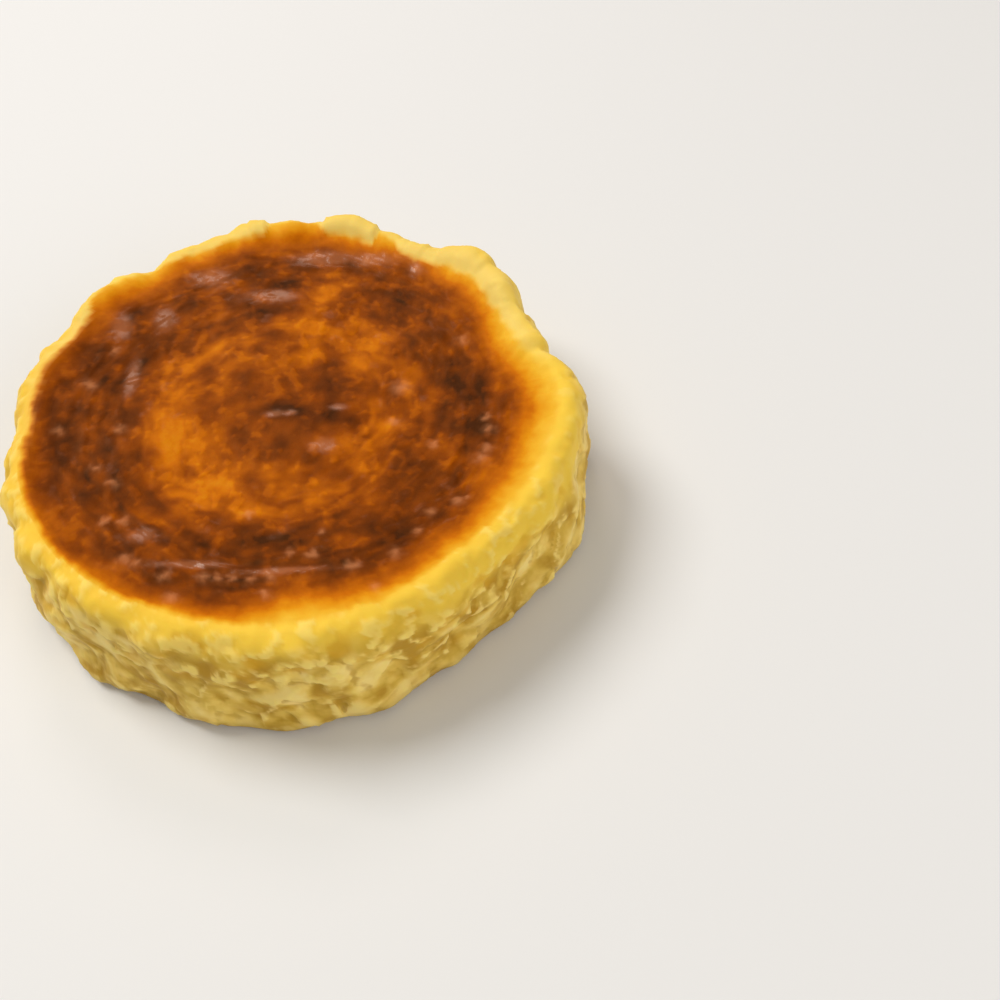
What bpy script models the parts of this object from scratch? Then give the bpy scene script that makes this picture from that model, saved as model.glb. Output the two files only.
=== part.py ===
"""A small jiggly cheesecake, baked in crumpled parchment: one solid, with its base on Z = 0.

The blank is a turned profile. Its wall and rim are then moved as the parchment shaped the real one:
it lay flat in places and bellied out in others, its pleats cut in from outside, tabs of custard
stand up between them, and small flat shards cover the wall.
The front of the cake, the side that the photograph shows, faces -Y. Angles run anticlockwise from +X.
"""

import math

import bmesh
import bpy

MM = 0.001

# Driving dimensions, in metres
BASE_RADIUS = 68.4 * MM
SHOULDER_RADIUS = 66.8 * MM
CREST_RADIUS = 61.5 * MM
BROWNED_RADIUS = 56.8 * MM
CREST_HEIGHT = 31.0 * MM
BROWNED_HEIGHT = 29.6 * MM
SHOULDER_HEIGHT = 22.0 * MM
DISH_DEPTH = 3.2 * MM
FOOT_ROUND = 2.0 * MM

# The browned dish lies off the middle of the cake, towards the left and the back
DISH_SHIFT_X = -4.0 * MM
DISH_SHIFT_Y = 0.8 * MM

# How finely the profile and the turn are divided
SEGMENTS = 144
DISH_RINGS = 8
SLOPE_RINGS = 3
SHOULDER_RINGS = 5
WALL_RINGS = 9
FOOT_RINGS = 2
DISH_POWER = 3.2

# Broad sides where the parchment lay flat or bellied out: angle and half width in degrees,
# then how far the wall moves out at the foot and at the crest
SIDES = (
    (-8, 24, 1.0 * MM, 0.8 * MM),
    (-48, 27, -4.4 * MM, -2.4 * MM),
    (24, 18, -0.9 * MM, -2.6 * MM),
    (92, 26, -0.4 * MM, 1.8 * MM),
    (128, 44, -0.4 * MM, 3.0 * MM),
    (214, 32, 1.4 * MM, 1.2 * MM),
)

# Pleats left by folds of the parchment: angle and half width in degrees, depth at the foot and at the crest
PLEATS = (
    (15, 3.5, 0.9 * MM, 2.4 * MM),
    (65, 5.0, 0.9 * MM, 2.2 * MM),
    (99, 4.0, 0.5 * MM, 0.9 * MM),
    (114, 3.5, 0.8 * MM, 1.4 * MM),
    (129, 6.0, 1.0 * MM, 3.4 * MM),
    (157, 4.0, 1.0 * MM, 2.8 * MM),
    (186, 5.0, 0.9 * MM, 1.6 * MM),
    (211, 4.0, 0.7 * MM, 1.2 * MM),
    (246, 5.0, 0.3 * MM, 1.0 * MM),
    (292, 4.5, 2.4 * MM, 1.0 * MM),
    (331, 5.0, 0.5 * MM, 0.8 * MM),
)

# At this pleat the wall on the clockwise side overlaps, and stands out past the other side
STEP_ANGLE = 13.5
STEP_REACH = 26.0
STEP_OUT = 1.6 * MM

# Tabs of the rim that stand up between pleats: angle and half width in degrees, push outwards and rise
TABS = (
    (4, 9.0, 0.5 * MM, 0.4 * MM),
    (46, 13.0, 2.8 * MM, 1.3 * MM),
    (82, 9.0, 1.8 * MM, 1.5 * MM),
    (106, 5.5, 1.2 * MM, 1.0 * MM),
    (119, 5.0, 0.4 * MM, 0.6 * MM),
    (148, 9.0, 1.5 * MM, 0.9 * MM),
    (168, 9.0, 0.6 * MM, 0.6 * MM),
    (233, 10.0, 0.3 * MM, 0.4 * MM),
    (272, 12.0, 0.2 * MM, 0.3 * MM),
    (312, 9.0, 0.4 * MM, 0.3 * MM),
)

# Flat shards that cover the wall: folds round the cake, folds up its height, phase and depth
SHARDS = (
    (13, 0.6, 0.4, 0.55 * MM),
    (19, -1.3, 2.1, 0.50 * MM),
    (9, 1.9, 4.4, 0.45 * MM),
    (24, 0.9, 1.3, 0.35 * MM),
    (16, -2.4, 3.2, 0.30 * MM),
)

# Slow swells of the sunken top: heading in degrees, wave length, phase and height
SWELLS = (
    (20, 47.0 * MM, 0.9, 0.30 * MM),
    (85, 36.0 * MM, 2.6, 0.30 * MM),
    (140, 28.0 * MM, 4.1, 0.25 * MM),
)

CUSTARD_YELLOW = (0.86, 0.61, 0.17, 1.0)


def clear_scene():
    for thing in list(bpy.data.objects):
        bpy.data.objects.remove(thing)


def ease(share):
    """A share from 0 to 1, with a soft start and end."""
    share = min(1.0, max(0.0, share))
    return share * share * (3 - 2 * share)


def blend(low, high, share):
    return low + (high - low) * share


def turn_between(angle, other):
    """Signed degrees from other to angle, the short way round."""
    return (angle - other + 180) % 360 - 180


def hump(angle, centre, half_width):
    """1 at the centre angle, falling softly to 0 at the half width."""
    return ease(1 - abs(turn_between(angle, centre)) / half_width)


def crease(angle, centre, half_width):
    """1 at the centre angle, falling fast on both sides, as a pressed fold does."""
    return math.exp(-1.6 * abs(turn_between(angle, centre)) / half_width)


def zigzag(phase):
    """A wave from -1 to 1 with flat sides that meet in a sharp crease."""
    return 1 - 4 * abs((phase / (2 * math.pi)) % 1 - 0.5)


def profile_points():
    """The cake's section from the middle of the top, over the rim and down to the middle of the base."""
    points = []
    for i in range(DISH_RINGS + 1):
        share = i / DISH_RINGS
        rise = DISH_DEPTH * share**DISH_POWER
        points.append((BROWNED_RADIUS * share, BROWNED_HEIGHT - DISH_DEPTH + rise))
    for i in range(1, SLOPE_RINGS + 1):
        share = i / SLOPE_RINGS
        radius = blend(BROWNED_RADIUS, CREST_RADIUS, share)
        points.append((radius, blend(BROWNED_HEIGHT, CREST_HEIGHT, math.sin(share * math.pi / 2))))
    for i in range(1, SHOULDER_RINGS + 1):
        turn = i / SHOULDER_RINGS * math.pi / 2
        radius = blend(CREST_RADIUS, SHOULDER_RADIUS, math.sin(turn))
        points.append((radius, blend(SHOULDER_HEIGHT, CREST_HEIGHT, math.cos(turn))))
    for i in range(1, WALL_RINGS + 1):
        share = i / WALL_RINGS
        radius = blend(SHOULDER_RADIUS, BASE_RADIUS, math.sin(share * math.pi / 2))
        points.append((radius, blend(SHOULDER_HEIGHT, FOOT_ROUND, share)))
    for i in range(1, FOOT_RINGS + 1):
        turn = i / FOOT_RINGS * math.pi / 2
        points.append((BASE_RADIUS - FOOT_ROUND * (1 - math.cos(turn)), FOOT_ROUND * (1 - math.sin(turn))))
    points.append((0.0, 0.0))
    return points


def turned_blank(name):
    """The profile, turned a full circle about Z by a Screw modifier, as a plain mesh."""
    outline = bmesh.new()
    corners = [outline.verts.new((radius, 0.0, height)) for radius, height in profile_points()]
    for upper, lower in zip(corners, corners[1:]):
        outline.edges.new((upper, lower))
    mesh = bpy.data.meshes.new(name + "_profile")
    outline.to_mesh(mesh)
    outline.free()

    lathe = bpy.data.objects.new(name + "_profile", mesh)
    bpy.context.scene.collection.objects.link(lathe)
    screw = lathe.modifiers.new("turn", "SCREW")
    screw.axis = "Z"
    screw.steps = SEGMENTS
    screw.render_steps = SEGMENTS
    screw.use_merge_vertices = True
    screw.merge_threshold = 0.0001
    evaluated = lathe.evaluated_get(bpy.context.evaluated_depsgraph_get())
    blank = bpy.data.meshes.new_from_object(evaluated)
    blank.name = name
    bpy.data.objects.remove(lathe)
    return blank


def parchment_offset(angle, up):
    """How far the parchment moved the wall outwards. up is 0 at the foot and 1 at the crest."""
    offset = sum(
        blend(foot, crest, up) * hump(angle, centre, half_width)
        for centre, half_width, foot, crest in SIDES
    )
    offset -= sum(
        blend(foot, crest, up) * crease(angle, centre, half_width)
        for centre, half_width, foot, crest in PLEATS
    )
    offset += sum(push * up * hump(angle, centre, half_width) for centre, half_width, push, _ in TABS)
    before_step = -turn_between(angle, STEP_ANGLE)
    if 0 < before_step < STEP_REACH:
        offset += STEP_OUT * ease(1 - before_step / STEP_REACH)
    return offset


def shard_offset(angle, up):
    turn = math.radians(angle)
    return sum(
        depth * zigzag(waves * turn + climb * 2 * math.pi * up + phase)
        for waves, climb, phase, depth in SHARDS
    )


def swell(x, y):
    total = 0.0
    for heading, length, phase, height in SWELLS:
        along = x * math.cos(math.radians(heading)) + y * math.sin(math.radians(heading))
        total += height * math.sin(2 * math.pi * along / length + phase)
    return total


def rim_rise(angle):
    """How much higher or lower than the plain profile the crest stands at this angle."""
    rise = sum(height * hump(angle, centre, half_width) for centre, half_width, _, height in TABS)
    dip = sum(depth * crease(angle, centre, half_width) for centre, half_width, _, depth in PLEATS)
    return rise - 0.35 * dip


def shaped(x, y, z):
    """Where a point of the turned blank ends up in the cake."""
    radius = math.hypot(x, y)
    angle = math.degrees(math.atan2(y, x))
    if z < FOOT_ROUND / 2 and radius < BASE_RADIUS / 2:
        return x, y, z
    if z < SHOULDER_HEIGHT + 0.1 * MM:
        up = ease(z / CREST_HEIGHT)
        out = parchment_offset(angle, up) + shard_offset(angle, z / CREST_HEIGHT)
        return x * (radius + out) / radius, y * (radius + out) / radius, z
    if radius > CREST_RADIUS:
        wall = (radius - CREST_RADIUS) / (SHOULDER_RADIUS - CREST_RADIUS)
        out = parchment_offset(angle, ease(z / CREST_HEIGHT))
        out += shard_offset(angle, z / CREST_HEIGHT) * blend(0.35, 1.0, wall)
        lift = rim_rise(angle) * (1 - wall)
        return x * (radius + out) / radius, y * (radius + out) / radius, z + lift
    # Inside the crest the rim's shape fades out, and the rings drift with the browned dish
    inward = 1 - radius / CREST_RADIUS
    held = ease(1 - inward / 0.28)
    out = (parchment_offset(angle, 1.0) + 0.35 * shard_offset(angle, 1.0)) * held if radius > 0 else 0.0
    scale = (radius + out) / radius if radius > 0 else 1.0
    drift = ease(inward / 0.35)
    lift = rim_rise(angle) * ease(1 - inward / 0.16) + swell(x, y) * (1 - held)
    return x * scale + DISH_SHIFT_X * drift, y * scale + DISH_SHIFT_Y * drift, z + lift


def centre_over_origin(mesh):
    """Moves the mesh so that the middle of its box is over the origin."""
    xs = [vertex.co.x for vertex in mesh.vertices]
    ys = [vertex.co.y for vertex in mesh.vertices]
    for vertex in mesh.vertices:
        vertex.co.x -= (min(xs) + max(xs)) / 2
        vertex.co.y -= (min(ys) + max(ys)) / 2


def custard_material():
    material = bpy.data.materials.new("baked_custard")
    material.use_nodes = True
    shader = material.node_tree.nodes["Principled BSDF"]
    shader.inputs["Base Color"].default_value = CUSTARD_YELLOW
    shader.inputs["Roughness"].default_value = 0.5
    shader.inputs["Metallic"].default_value = 0.0
    return material


def make_cheesecake(collection):
    mesh = turned_blank("cheesecake")
    for vertex in mesh.vertices:
        vertex.co = shaped(*vertex.co)
    centre_over_origin(mesh)
    mesh.shade_smooth()
    mesh.materials.append(custard_material())
    cake = bpy.data.objects.new("cheesecake", mesh)
    collection.objects.link(cake)
    return cake


def main():
    clear_scene()
    collection = bpy.data.collections.new("jiggly_cheesecake")
    bpy.context.scene.collection.children.link(collection)
    make_cheesecake(collection)


main()
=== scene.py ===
# %% [markdown]
# # A small jiggly cheesecake
# This cake was baked without a crust, in a tin lined with crumpled parchment. The paper left folds,
# tabs and flat shards all over its wall, and the oven turned its sunken top brown and glossy.
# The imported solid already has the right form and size, in facets of about 3 mm. This lesson puts
# a skin of half-millimetre faces over it, presses the paper into the wall, wrinkles and browns the
# top, and then sets up the picture.

# %% Load the solid
import math

import bmesh
import bpy
import numpy as np
from mathutils import Matrix, Vector, geometry, noise
from mathutils.bvhtree import BVHTree


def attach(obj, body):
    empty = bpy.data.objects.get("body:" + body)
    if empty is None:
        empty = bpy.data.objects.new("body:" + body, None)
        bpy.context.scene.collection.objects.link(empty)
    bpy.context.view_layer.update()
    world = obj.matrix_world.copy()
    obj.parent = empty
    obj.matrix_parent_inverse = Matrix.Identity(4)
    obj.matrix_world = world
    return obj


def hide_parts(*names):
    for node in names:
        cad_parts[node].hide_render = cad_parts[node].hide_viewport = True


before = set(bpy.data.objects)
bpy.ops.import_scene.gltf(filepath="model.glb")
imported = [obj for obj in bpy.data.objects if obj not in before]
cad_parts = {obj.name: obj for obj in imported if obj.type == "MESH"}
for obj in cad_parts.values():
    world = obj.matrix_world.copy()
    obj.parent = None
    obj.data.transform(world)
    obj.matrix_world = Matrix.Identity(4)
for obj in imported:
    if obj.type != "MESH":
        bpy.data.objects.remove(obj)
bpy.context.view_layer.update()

MM = 0.001
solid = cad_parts["cheesecake"]

# %% [markdown]
# ## The camera
# The photograph was taken from close by, looking down on the cake at about 53 degrees and held a
# little askew. A camera could be pointed with a constraint, but three plain numbers say the same
# and can be checked: where it stands, how far it looks down, and how far it is rolled.

# %% Camera
CAMERA_PLACE = Vector((47.0, -174.5, 218.7)) * MM
CAMERA_LOOKS_DOWN = 52.62
CAMERA_ROLL = -1.5
CAMERA_LENS = 39.6
FILM_WIDTH = 36.0
NEAREST_SEEN = 10 * MM

lens = bpy.data.cameras.new("photo_camera")
lens.lens = CAMERA_LENS
lens.sensor_width = FILM_WIDTH
lens.clip_start = NEAREST_SEEN
camera = bpy.data.objects.new("photo_camera", lens)
tilt = Matrix.Rotation(math.radians(90 - CAMERA_LOOKS_DOWN), 3, "X")
roll = Matrix.Rotation(math.radians(CAMERA_ROLL), 3, "Z")
camera.location = CAMERA_PLACE
camera.rotation_euler = (tilt @ roll).to_euler()
bpy.context.scene.collection.objects.link(camera)
bpy.context.scene.camera = camera
print("camera stands", round(CAMERA_PLACE.length / MM), "mm from the middle of the base")

# %% [markdown]
# ## A smooth copy of the solid
# The solid is faceted. Its triangles are joined back to quads, and two rounds of subdivision give
# a softly rounded surface with the same folds. It isn't shown itself: it is what the fine skin is
# measured from, so it only has to be smooth.

# %% Smooth copy
SMOOTH_LEVELS = 2
WELD_WITHIN = 0.02 * MM
FLAT_ENOUGH = math.radians(60)


def smooth_copy(source, levels):
    """A tree for ray casting, made from a subdivided copy of an object's mesh."""
    cage = bmesh.new()
    cage.from_mesh(source.data)
    bmesh.ops.remove_doubles(cage, verts=cage.verts, dist=WELD_WITHIN)
    bmesh.ops.join_triangles(
        cage, faces=cage.faces, angle_face_threshold=FLAT_ENOUGH, angle_shape_threshold=FLAT_ENOUGH
    )
    mesh = bpy.data.meshes.new("smooth_copy")
    cage.to_mesh(mesh)
    cage.free()
    copy = bpy.data.objects.new("smooth_copy", mesh)
    bpy.context.scene.collection.objects.link(copy)
    subdivision = copy.modifiers.new("smooth", "SUBSURF")
    subdivision.levels = levels
    subdivision.render_levels = levels
    tree = BVHTree.FromObject(copy, bpy.context.evaluated_depsgraph_get())
    print("smooth copy starts from", len(mesh.polygons), "faces")
    bpy.data.objects.remove(copy)
    return tree


smooth_tree = smooth_copy(solid, SMOOTH_LEVELS)

# %% [markdown]
# ## A comb of rays
# A remesh would give even faces, but they would run across the wrinkles, which all follow the rim.
# So the skin is laid out as rings instead. Rays leave a round core inside the cake: straight up from
# its top, fanning out from its edge, and level from its side. First the rings are planned, one row
# for each. Towards the middle they need fewer points, so the count halves twice.

# %% Plan the rings
AROUND = 576
CORE_RADIUS = 46 * MM
CORE_HEIGHT = 14 * MM
TOP_STEP = 0.46 * MM
WALL_STEP = 0.62 * MM
FAN_RINGS = 62
LOWEST_RING = 0.25 * MM
QUARTER_COUNT_WITHIN = 12 * MM
HALF_COUNT_WITHIN = 24 * MM


def comb_rows():
    """One row for each ring: start radius, start height, tilt of its rays from straight up, and count."""
    rows = []
    for i in range(1, int(CORE_RADIUS / TOP_STEP)):
        radius = i * TOP_STEP
        if radius < QUARTER_COUNT_WITHIN:
            count = AROUND // 4
        elif radius < HALF_COUNT_WITHIN:
            count = AROUND // 2
        else:
            count = AROUND
        rows.append((radius, CORE_HEIGHT, 0.0, count))
    for i in range(FAN_RINGS + 1):
        rows.append((CORE_RADIUS, CORE_HEIGHT, math.radians(90 * i / FAN_RINGS), AROUND))
    wall_rings = int((CORE_HEIGHT - LOWEST_RING) / WALL_STEP)
    for i in range(1, wall_rings + 1):
        height = CORE_HEIGHT + (LOWEST_RING - CORE_HEIGHT) * i / wall_rings
        rows.append((CORE_RADIUS, height, math.radians(90), AROUND))
    return rows


rows = comb_rows()
print(len(rows), "rings")

# %% [markdown]
# ## Finding the surface
# Each ray goes out from its place on the comb, and the tree says where it meets the smooth copy.
# The hits come in the order of the rings, so a point's number also tells which ring it is on.

# %% Cast the rays


def cast_comb(tree, rows):
    """Where every ray meets the surface, ring by ring, after one point in the middle of the top."""
    points = [tree.ray_cast(Vector((0, 0, CORE_HEIGHT)), Vector((0, 0, 1)))[0]]
    for radius, height, tilt, count in rows:
        for i in range(count):
            turn = 2 * math.pi * i / count
            out = Vector((math.cos(turn), math.sin(turn), 0))
            start = out * radius + Vector((0, 0, height))
            heading = out * math.sin(tilt) + Vector((0, 0, math.cos(tilt)))
            points.append(tree.ray_cast(start, heading)[0])
    return np.array([tuple(point) for point in points])


skin = cast_comb(smooth_tree, rows)
skin_count = len(skin)
ring_starts = np.cumsum([1] + [row[3] for row in rows])
ring_of = np.concatenate([[0]] + [np.full(row[3], i) for i, row in enumerate(rows)])
print(skin_count, "points on the surface")

# %% [markdown]
# ## Faces between the rings
# Two rings of the same count are joined by quads. Where the count doubles, each step of the inner
# ring meets two of the outer one, and three triangles fill the place. The last ring is drawn in a
# little and laid on the ground, and a fan of triangles closes the base.

# %% Join the rings
FOOT_TUCK = 0.5 * MM


def join_rings(rows, starts):
    """Faces from the middle of the top out to the last ring."""
    first = rows[0][3]
    faces = [(0, 1 + i, 1 + (i + 1) % first) for i in range(first)]
    for ring in range(len(rows) - 1):
        inner, outer = rows[ring][3], rows[ring + 1][3]
        a, b = starts[ring], starts[ring + 1]
        for i in range(inner):
            j = (i + 1) % inner
            if inner == outer:
                faces.append((a + i, b + i, b + j, a + j))
            else:
                low, middle, high = 2 * i, 2 * i + 1, (2 * i + 2) % outer
                faces.append((a + i, b + low, b + middle))
                faces.append((a + i, b + middle, a + j))
                faces.append((a + j, b + middle, b + high))
    return faces


def close_base(points, faces, start):
    """Adds a ring on the ground under the last one, and a fan to the middle of the base."""
    last = points[start:]
    reach = np.hypot(last[:, 0], last[:, 1])
    inward = (reach - FOOT_TUCK) / reach
    ground = np.stack([last[:, 0] * inward, last[:, 1] * inward, np.zeros(len(last))], 1)
    below = len(points)
    count = len(last)
    middle = below + count
    for i in range(count):
        j = (i + 1) % count
        faces.append((start + i, below + i, below + j, start + j))
        faces.append((below + i, middle, below + j))
    return np.concatenate([points, ground, [[0.0, 0.0, 0.0]]])


skin_faces = join_rings(rows, ring_starts)
skin = close_base(skin, skin_faces, ring_starts[-2])
print(len(skin_faces), "faces with the base")

# %% [markdown]
# ## Where each point lies
# The relief and the browning are written in the cake's own terms, so each point gets them once: its
# angle, how far it is along the wall when the wall is unrolled like the paper that touched it, how
# far up that paper, and where it is seen from the middle of the browned top, which lies a few
# millimetres to the left of the cake's middle. From here on, lengths are in millimetres.

# %% Coordinates of the skin
WRAP_RADIUS = 66.0
BROWNED_MIDDLE = (-4.7, 0.4)

x, y, z = (skin[:skin_count] / MM).T
angle = np.arctan2(y, x)
turned = np.degrees(angle) % 360
around = (angle % (2 * math.pi)) * WRAP_RADIUS
ring_spans = list(zip(ring_starts, ring_starts[1:]))
ring_middle = np.array([(np.hypot(x, y)[a:b].mean(), z[a:b].mean()) for a, b in ring_spans])
ring_path = np.concatenate([[0], np.cumsum(np.hypot(*np.diff(ring_middle, axis=0).T))])
up_wall = (ring_path[-1] - ring_path)[ring_of]
on_wall = np.flatnonzero(np.array([row[2] for row in rows])[ring_of] > 0)
top_x, top_y = x - BROWNED_MIDDLE[0], y - BROWNED_MIDDLE[1]
top_reach = np.hypot(top_x, top_y)
top_angle = np.arctan2(top_y, top_x)
print("wall and rim, unrolled: %.0f by %.0f mm" % (2 * math.pi * WRAP_RADIUS, up_wall[on_wall].max()))

# %% [markdown]
# ## How far past the crest
# Much changes at the crest, the highest line of the rim: inside it lies the browned top, outside it
# the wall that the paper touched. The rim rises and falls, so height alone can't tell the two apart.
# Each column of points is followed outwards instead, and the length from its highest point counts.

# %% Past the crest
CREST_EVENED_OVER = 8
FAR_INSIDE = -99.0


def beyond_crest():
    """How far each point of the rim and wall lies outside the crest, measured along the skin."""
    grid = np.stack([x, y, z])[:, on_wall].reshape(3, -1, AROUND)
    steps = np.sqrt((np.diff(grid, axis=1) ** 2).sum(0))
    path = np.concatenate([np.zeros((1, AROUND)), np.cumsum(steps, 0)])
    crest = path[np.argmax(grid[2], 0), np.arange(AROUND)]
    shifts = range(-CREST_EVENED_OVER, CREST_EVENED_OVER + 1)
    crest = sum(np.roll(crest, shift) for shift in shifts) / len(shifts)
    beyond = np.full(skin_count, FAR_INSIDE)
    beyond[on_wall] = (path - crest).ravel()
    return beyond


past_crest = beyond_crest()
print("the wall ends %.0f mm past the crest" % past_crest.max())

# %% [markdown]
# ## Ramps, clouds and streaks
# Three helpers shape nearly everything that follows. A ramp fades a thing in or out. A cloud is
# Blender's own fractal noise, read in space, so it has no seam. Its number picks which cloud, and
# every use has a number of its own. Streaks are a cloud read in bent polar coordinates, so that its
# lumps are drawn out along the rim, as a skin wrinkles when the custard under it sinks.

# %% Ramps, clouds and streaks
CLOUD_SPACING = 17.3
CLOUD_EVENNESS = 0.9
CLOUD_FINER_BY = 2.1
LEAST_STREAK_REACH = 8.0


def soft_step(low, high, value):
    """0 below low, 1 above high, with a soft ramp between them."""
    share = np.clip((value - low) / (high - low), 0, 1)
    return share * share * (3 - 2 * share)


def cloud(scale, number, octaves=3, where=None):
    """Soft noise from about -1 to 1, with lumps of the given size in millimetres."""
    points = np.stack([x, y, z], 1) if where is None else where
    points = points / scale + CLOUD_SPACING * number
    return np.array([
        noise.fractal(point, CLOUD_EVENNESS, CLOUD_FINER_BY, octaves) for point in points.tolist()
    ])


def streaks(along, across, number, octaves=3):
    """Noise with lumps longer round the browned top than across it, and none in the very middle."""
    bent = top_reach + 2.6 * cloud(13, number + 40) + 0.9 * cloud(4.5, number + 41, 2)
    reach = np.maximum(top_reach, LEAST_STREAK_REACH)
    turning = np.stack([
        np.cos(top_angle) * reach / along,
        np.sin(top_angle) * reach / along,
        bent / across,
    ], 1)
    return cloud(1.0, number, octaves, turning) * soft_step(10, 26, top_reach)


print("a ramp from 0 to 4, at 1, 2 and 3:", soft_step(0, 4, np.array([1, 2, 3])))

# %% [markdown]
# ## Crumpled parchment
# Paper can't stretch, so crumpling it makes flat facets that meet in sharp creases. A noise texture
# would make soft bumps instead. Here a sheet of scattered points with random heights is joined into
# triangles, as a Delaunay mesh. The rows lean, so the creases run askew as they do on the wall.

# %% Crumpled sheets
SHEET_HEIGHT = 52.0
SHEET_WRAP = 2 * math.pi * WRAP_RADIUS
CORNER_SCATTER = 0.45


def crumpled_sheet(spacing, lean, seed):
    """A folded sheet as long as the wall is round, whose two ends match. Gives its ray-casting tree."""
    draw = np.random.default_rng(seed)
    columns = round(SHEET_WRAP / spacing)
    step = SHEET_WRAP / columns
    levels = int(SHEET_HEIGHT / spacing) + 4
    corners = []
    for column in range(columns):
        for level in range(levels):
            along = (column + draw.uniform(-CORNER_SCATTER, CORNER_SCATTER)) * step
            up = (level - 1.5 + draw.uniform(-CORNER_SCATTER, CORNER_SCATTER)) * spacing
            corners.append(((along + lean * up) % SHEET_WRAP, up, draw.uniform(-1, 1)))
    margin = 4 * spacing
    corners += [(a + SHEET_WRAP, u, h) for a, u, h in corners if a < margin]
    corners += [(a - SHEET_WRAP, u, h) for a, u, h in corners if SHEET_WRAP - margin < a < SHEET_WRAP]
    flat = [Vector((a, u)) for a, u, _ in corners]
    placed, _, faces, origin, _, _ = geometry.delaunay_2d_cdt(flat, [], [], 0, 1e-5)
    raised = [(p.x, p.y, corners[origin[i][0]][2]) for i, p in enumerate(placed)]
    print("sheet of %.1f mm facets: %d of them" % (spacing, len(faces)))
    return BVHTree.FromPolygons(raised, faces)


broad_sheet = crumpled_sheet(spacing=8.2, lean=0.5, seed=11)
small_sheet = crumpled_sheet(spacing=4.0, lean=-0.4, seed=12)

# %% [markdown]
# ## Reading the paper
# The sheets are read off by rays straight down at each point's place on the unrolled wall: the broad
# one for shards of about 8 mm, the small one for creases 4 mm apart within them. The facet that a
# ray hits also gives a random tint, which later makes each shard a little lighter or darker.

# %% Read the sheets
MOST_FACETS = 20000
ABOVE_THE_SHEET = 5.0


def read_sheet(sheet, seed):
    """The sheet's height under each point of the wall and rim, and a random tint for its facet."""
    down = Vector((0, 0, -1))
    tints = np.random.default_rng(seed).uniform(-1, 1, MOST_FACETS)
    heights = np.zeros(skin_count)
    facets = np.zeros(skin_count)
    for point in on_wall:
        start = Vector((around[point], up_wall[point], ABOVE_THE_SHEET))
        place, _, facet, _ = sheet.ray_cast(start, down)
        heights[point] = place.z
        facets[point] = tints[facet]
    return heights, facets


broad, broad_tint = read_sheet(broad_sheet, seed=13)
small, small_tint = read_sheet(small_sheet, seed=14)
print("points on the wall and rim:", len(on_wall))

# %% [markdown]
# ## Flakes
# Where the paper was peeled off, thin scales of custard stand proud on one side, as on flaky pastry.
# Each scale is a small flat cell that tilts its own way, so its border is a little step. The cells
# are the parts of the wall nearest to one of a few hundred scattered points. Where the two nearest
# points are about as far away, their cells are blended, so no step is steeper than the mesh can draw.

# %% Flakes of the wall
FLAKE_COUNT = 520
FLAKE_TILT = 0.17
LEAST_TILT_SHARE = 0.3
FLAKE_EDGE = 0.9
FLAKE_SWAY = 1.6
FLAKE_UPRIGHT = 0.75
BATCHES = 60


def flakes(count, seed):
    """Height of the tilted scales at each point of the wall and rim."""
    draw = np.random.default_rng(seed)
    middles = np.stack([draw.uniform(0, SHEET_WRAP, count), draw.uniform(-4, SHEET_HEIGHT, count)], 1)
    heading = draw.uniform(0, 2 * math.pi, count)
    tilts = np.stack([np.cos(heading), np.sin(heading)], 1)
    tilts = tilts * draw.uniform(LEAST_TILT_SHARE, 1.0, (count, 1)) * FLAKE_TILT
    heights = np.zeros(skin_count)
    sway = FLAKE_SWAY * np.array([noise.noise((a / 9, u / 9, 3.1)) for a, u in zip(around, up_wall)])
    for some in np.array_split(on_wall, BATCHES):
        along = (around[some, None] + sway[some, None] - middles[:, 0] + SHEET_WRAP / 2) % SHEET_WRAP
        along = along - SHEET_WRAP / 2
        up = up_wall[some, None] - sway[some, None] - middles[:, 1]
        reach = np.hypot(along, FLAKE_UPRIGHT * up)
        two = np.argpartition(reach, 1, axis=1)[:, :2]
        first, second = np.take_along_axis(reach, two, 1).T
        lifted = [
            np.take_along_axis(along, two[:, k : k + 1], 1)[:, 0] * tilts[two[:, k], 0]
            + np.take_along_axis(up, two[:, k : k + 1], 1)[:, 0] * tilts[two[:, k], 1]
            for k in (0, 1)
        ]
        share = soft_step(-FLAKE_EDGE, FLAKE_EDGE, second - first)
        heights[some] = lifted[0] * share + lifted[1] * (1 - share)
    return heights


scales = flakes(FLAKE_COUNT, seed=21)
print("flakes from %.2f to %.2f mm" % (scales.min(), scales.max()))

# %% [markdown]
# ## The edge of the browned top
# The browning ends along a line that is nearly round. So it is a circle, drawn in or pushed out over
# a few stretches, with a small wobble on top. A point's reach divided by the edge's in its direction
# is its share of the way out. The rings of colour and the wrinkles are placed by that share, and so
# they all follow the uneven edge.

# %% Edge of the browned top
BROWNED_RADIUS = 57.6
EDGE_WOBBLE = 1.1
WOBBLE_CIRCLE = 9       # radius of the circle that it is read on, in lumps of the cloud

# Where the edge draws in (-) or out (+): angle, half width in degrees, and millimetres
EDGE_BAYS = (
    (20, 16, -4.2), (57, 9, 1.6), (92, 45, 1.0), (112, 13, -1.6), (130, 11, -2.8), (200, 60, 2.2),
    (246, 12, 1.3), (281, 13, -2.4), (304, 12, 1.5), (358, 10, 1.4),
)


def turn_from(angles, middle):
    """How far angles in degrees lie from a middle one, from -180 to 180."""
    return (angles - middle + 180) % 360 - 180


def top_edge():
    """The browned top's radius in each point's direction."""
    edge = np.full(skin_count, BROWNED_RADIUS)
    for middle, half_width, move in EDGE_BAYS:
        turn = turn_from(np.degrees(top_angle), middle)
        edge += move * soft_step(0, 1, 1 - np.abs(turn) / half_width)
    circle = np.stack([np.cos(top_angle), np.sin(top_angle), np.zeros(skin_count)], 1)
    return edge + EDGE_WOBBLE * cloud(1.0, 5, 3, circle * WOBBLE_CIRCLE)


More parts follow.
